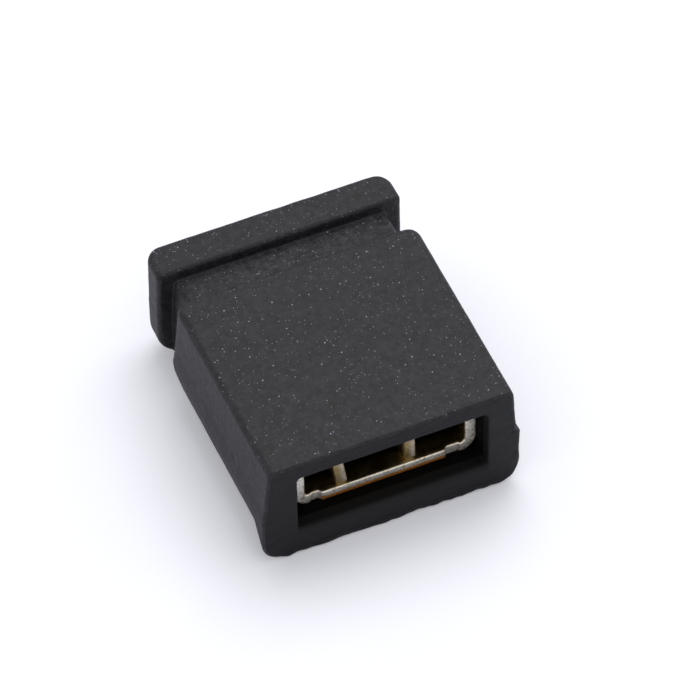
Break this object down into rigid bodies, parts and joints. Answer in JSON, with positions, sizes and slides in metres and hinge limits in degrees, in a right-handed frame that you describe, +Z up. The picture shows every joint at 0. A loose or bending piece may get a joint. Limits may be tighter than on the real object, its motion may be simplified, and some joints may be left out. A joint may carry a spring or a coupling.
{
  "type": "jumper shunt",
  "caption": "Moulded shunt with a folded spring contact inside and a grip flange at its closed end; pushes over neighbouring square header pins to join them.",
  "frame": {"origin": "middle of the shunt's outline on the surface it lies on, as seen from above", "axes": "+X across the two pins, -Y out of the open end, +Y to the grip flange, +Z up out of the broad face that has the sharper edges"},
  "size_m": [0.005, 0.0058, 0.0025],
  "materials": {
    "insulator": "spark-eroded matte, with fine glints",
    "contact_plating": "thin gold-coloured plating, with silvery sheared edges and bare copper-orange where the tab was cut off"
  },
  "bodies": {
    "root": {"housing": "insulator", "contact": "contact_plating"}
  },
  "joints": []
}
